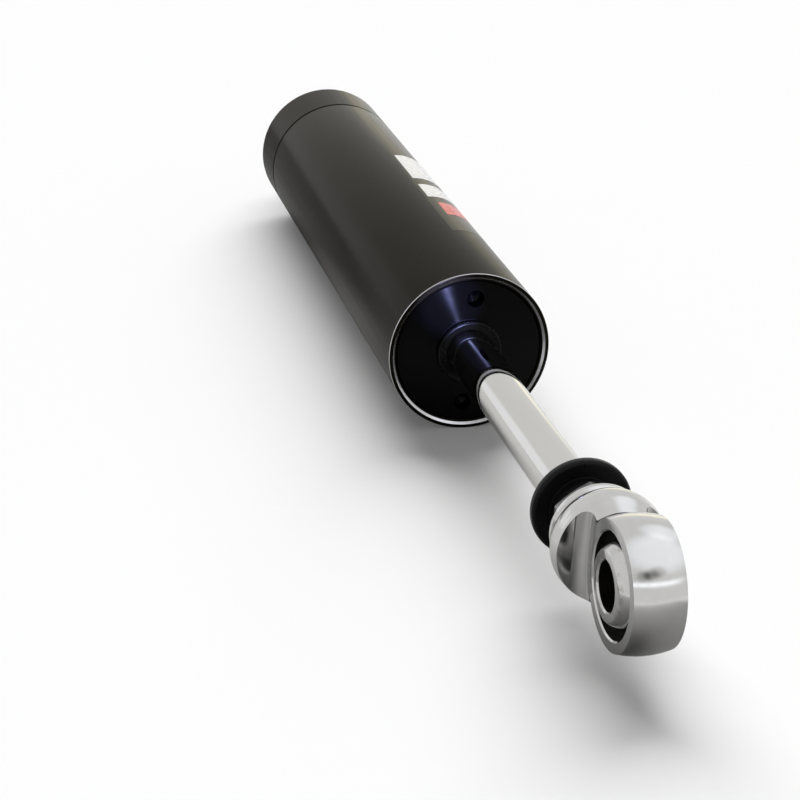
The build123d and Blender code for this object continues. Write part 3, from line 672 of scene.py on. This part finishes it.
# Metal mirrors the floor darker, apart from a few zones. A ramp is how pale the floor is at its
# start and at its end, and how far these are ahead of the rim, to either side of a middle along
# the rod, off the rod's line, or off an edge that slants away from it.
RIGHT_SLOPE = 0.35
RIGHT_RAMP = (0.0, 1.0, 0.0, 0.08)
ROD_MIDDLE = -0.02
ROD_RAMP = (0.75, 0.0, 0.08, 0.16)
AHEAD_RAMP = (0.0, 1.0, 0.165, 0.60)
LEFT_START = 0.02
LEFT_SLOPE = 0.48
LEFT_ACROSS_RAMP = (0.75, 0.0, -0.024, 0.0)
LEFT_AHEAD_RAMP = (0.75, 0.0, -0.10, -0.02)
EYE_ACROSS_RAMP = (0.24, 0.0, -0.045, -0.020)
EYE_NEAR_RAMP = (0.0, 0.24, 0.118, 0.148)
EYE_FAR_RAMP = (0.24, 0.0, 0.160, 0.190)


def ray_is(tree, *kinds):
    """1 for a ray of one of the kinds that Light Path names, and 0 for any other."""
    path = tree.nodes.new("ShaderNodeLightPath")
    total = path.outputs[kinds[0]]
    for kind in kinds[1:]:
        total = math_node(tree, "ADD", total, path.outputs[kind], clamp=True)
    return total


def floor_paleness(tree):
    """The palest of the floor's zones at a place. A zone is as pale as its lowest ramp."""
    x, across, _ = own_place(tree)
    ahead = math_node(tree, "SUBTRACT", x, rim_x)
    right_edge = math_node(tree, "MULTIPLY", ahead, RIGHT_SLOPE)
    past_right = math_node(tree, "SUBTRACT", across, right_edge)
    from_middle = math_node(tree, "ABSOLUTE", math_node(tree, "SUBTRACT", ahead, ROD_MIDDLE))
    from_start = math_node(tree, "SUBTRACT", ahead, LEFT_START)
    left_edge = math_node(tree, "MULTIPLY", from_start, LEFT_SLOPE)
    past_left = math_node(tree, "SUBTRACT", across, left_edge)
    zones = (
        ((past_right, RIGHT_RAMP), (across, RIGHT_RAMP)),
        ((from_middle, ROD_RAMP),),
        ((ahead, AHEAD_RAMP),),
        ((past_left, LEFT_ACROSS_RAMP), (ahead, LEFT_AHEAD_RAMP)),
        ((across, EYE_ACROSS_RAMP), (ahead, EYE_NEAR_RAMP), (ahead, EYE_FAR_RAMP)),
    )
    levels = []
    for zone in zones:
        levels.append(fold(tree, "MINIMUM", [remap(tree, place, *ramp) for place, ramp in zone]))
    return fold(tree, "MAXIMUM", levels)


def floor_material():
    """Matt and pale to the camera, and to metal a darker floor with its zones."""
    material, tree, shader = new_tree("floor_white")
    tree.nodes.remove(shader)
    matt = tree.nodes.new("ShaderNodeBsdfDiffuse")
    glow = tree.nodes.new("ShaderNodeEmission")
    both = tree.nodes.new("ShaderNodeAddShader")
    glossy = ray_is(tree, "Is Glossy Ray")
    mirrored = math_node(tree, "MULTIPLY", glossy, floor_paleness(tree))
    seen = math_node(tree, "MAXIMUM", ray_is(tree, "Is Camera Ray", "Is Transmission Ray"), mirrored)
    neutral = mix_colour(tree, seen, FLOOR_MIRRORED, FLOOR_SEEN)
    colour = mix_colour(tree, glossy, neutral, SKY_WARM, blend="MULTIPLY")
    lift = remap(tree, seen, 0.0, FLOOR_LIFT, start=0, end=1)
    tree.links.new(colour, matt.inputs["Color"])
    tree.links.new(lift, glow.inputs["Strength"])
    tree.links.new(matt.outputs[0], both.inputs[0])
    tree.links.new(glow.outputs[0], both.inputs[1])
    tree.links.new(both.outputs[0], tree.nodes["Material Output"].inputs["Surface"])
    return material


floor_shape = bmesh.new()
bmesh.ops.create_grid(
    floor_shape, x_segments=FLOOR_SEGMENTS, y_segments=FLOOR_SEGMENTS, size=FLOOR_SIZE / 2
)
floor_mesh = bpy.data.meshes.new("floor")
floor_shape.to_mesh(floor_mesh)
floor_shape.free()
floor = bpy.data.objects.new("floor", floor_mesh)
floor.location.z = floor_z
floor_mesh.materials.append(floor_material())
scene.collection.objects.link(floor)

# Sky: a white studio, with a strip of light that metal shows as a thin line

SKY_DIFFUSE = 0.15
SKY_LEVEL = 0.88
SKY_WHITE = (1.0, 1.0, 1.0)
SKY_COOL = (0.97, 0.98, 1.0)
SKY_TAN = (1.0, 0.94, 0.74)
COOL_GAIN = 3.0
STRIP_NORMAL = Vector((-0.0427, 0.1056, 1.0))
STRIP_LEVEL = 0.4112
STRIP_RAMP = (1.0, 0.0, 0.02, 0.075)
TAN_AMOUNT = 0.5

# A lobe is its azimuth and elevation, its inner and outer angle, and how much light it adds
STRIP_LOBE = (12, 26, 16, 44, 0.9)
TAN_LOBE = (157, 0, 5, 13, TAN_AMOUNT)
SKY_LOBES = (
    (60, 66, 18, 40, 0.42),
    (-146, 9, 6, 14, 0.25),
    (133, 48, 6, 20, 0.42),
    (2, 40, 3, 11, -0.4),
    (13, 41, 3, 11, -0.4),
    (25, 43, 3, 11, -0.4),
)


def dot_product(tree, direction, other):
    """How far a direction goes along another vector."""
    node = tree.nodes.new("ShaderNodeVectorMath")
    node.operation = "DOT_PRODUCT"
    node.inputs[1].default_value = other
    tree.links.new(direction, node.inputs[0])
    return node.outputs["Value"]


def sky_towards(azimuth, elevation):
    """The unit vector towards a place in the sky."""
    azimuth, elevation = math.radians(azimuth), math.radians(elevation)
    level = math.cos(elevation)
    return Vector((level * math.cos(azimuth), level * math.sin(azimuth), math.sin(elevation)))


def sky_lobe(tree, direction, azimuth, elevation, inner, outer, amount):
    """A soft patch of sky: its whole amount up to the inner angle, and 0 past the outer one."""
    node = tree.nodes.new("ShaderNodeMapRange")
    node.interpolation_type = "SMOOTHSTEP"
    node.inputs["From Min"].default_value = math.cos(math.radians(outer))
    node.inputs["From Max"].default_value = math.cos(math.radians(inner))
    node.inputs["To Min"].default_value = 0.0
    node.inputs["To Max"].default_value = amount
    towards = sky_towards(azimuth, elevation)
    tree.links.new(dot_product(tree, direction, towards), node.inputs["Value"])
    return node.outputs["Result"]


def sky():
    """White to the camera, and to metal pale all round, with brighter and darker patches."""
    world = bpy.data.worlds.new("studio")
    world.use_nodes = True
    tree = world.node_tree
    direction = tree.nodes.new("ShaderNodeTexCoord").outputs["Generated"]
    across = dot_product(tree, direction, STRIP_NORMAL)
    from_strip = math_node(tree, "ABSOLUTE", math_node(tree, "SUBTRACT", across, STRIP_LEVEL))
    strip_end = sky_lobe(tree, direction, *STRIP_LOBE)
    strip = math_node(tree, "MULTIPLY", strip_end, remap(tree, from_strip, *STRIP_RAMP))
    lobes = [sky_lobe(tree, direction, *lobe) for lobe in SKY_LOBES]
    patches = fold(tree, "ADD", lobes + [strip])
    tan_patch = sky_lobe(tree, direction, *TAN_LOBE)
    seen = ray_is(tree, "Is Camera Ray")
    mirrored = ray_is(tree, "Is Glossy Ray", "Is Transmission Ray")
    total = fold(tree, "ADD", [patches, tan_patch, SKY_LEVEL])
    level = math_node(tree, "MULTIPLY", total, mirrored)
    strength = fold(tree, "MAXIMUM", [level, seen, SKY_DIFFUSE])
    coolness = math_node(tree, "MULTIPLY", patches, COOL_GAIN, clamp=True)
    cool = mix_colour(tree, coolness, SKY_WARM, SKY_COOL)
    tint = mix_colour(tree, math_node(tree, "DIVIDE", tan_patch, TAN_AMOUNT), cool, SKY_TAN)
    colour = mix_colour(tree, mirrored, SKY_WHITE, tint)
    background = tree.nodes["Background"]
    tree.links.new(colour, background.inputs["Color"])
    tree.links.new(strength, background.inputs["Strength"])
    return world


scene.world = sky()

# Lamps: a wide key from behind, and a small blue lamp that draws the streak on the guide

KEY_ENERGY = 4.75
KEY_ANGLE = 60.0
KEY_FROM = Vector((-0.743, 0.185, 0.643))

# The blue lamp's place and aim are from the centre of the rim
STREAK_PLACE = Vector((0.09, 0.0009, 0.0243))
STREAK_AIM = Vector((-0.001, -0.0070, 0.0157))
STREAK_CONE = 15.0
STREAK_BLEND = 0.7
STREAK_RADIUS = 0.0008
STREAK_POWER = 2.0
STREAK_COLOUR = (0.42, 0.46, 1.0)


def add_lamp(name, kind, place, towards, energy, **settings):
    """A lamp at a place. towards points back along its light."""
    lamp = bpy.data.lights.new(name, kind)
    lamp.energy = energy
    for label, value in settings.items():
        setattr(lamp, label, value)
    holder = bpy.data.objects.new(name, lamp)
    turn = towards.to_track_quat("Z", "Y").to_matrix().to_4x4()
    holder.matrix_world = Matrix.Translation(place) @ turn
    scene.collection.objects.link(holder)
    return holder


key_from = KEY_FROM.normalized()
key = add_lamp("key", "SUN", key_from, key_from, KEY_ENERGY, angle=math.radians(KEY_ANGLE))
key.visible_glossy = False
add_lamp(
    "streak", "SPOT", rim_centre + STREAK_PLACE, STREAK_PLACE - STREAK_AIM, STREAK_POWER,
    spot_size=math.radians(STREAK_CONE), spot_blend=STREAK_BLEND,
    shadow_soft_size=STREAK_RADIUS, color=STREAK_COLOUR,
)

# Camera, placed from the centre of the rim

CAMERA_FROM_RIM = Vector((0.560557, -0.167662, 0.231604))
CAMERA_RIGHT = Vector((0.23505, 0.97109, 0.04171))
CAMERA_DOWN = Vector((0.38963, -0.05482, -0.91934))
CAMERA_FORWARD = Vector((-0.89047, 0.23234, -0.39125))
CAMERA_LENS = 92.302
CAMERA_SENSOR = 36.0

camera_data = bpy.data.cameras.new("camera")
camera_data.lens = CAMERA_LENS
camera_data.sensor_width = CAMERA_SENSOR
camera = bpy.data.objects.new("camera", camera_data)
camera_turn = Matrix((CAMERA_RIGHT, -CAMERA_DOWN, -CAMERA_FORWARD)).transposed()
camera.matrix_world = Matrix.Translation(rim_centre + CAMERA_FROM_RIM) @ camera_turn.to_4x4()
scene.collection.objects.link(camera)
scene.camera = camera
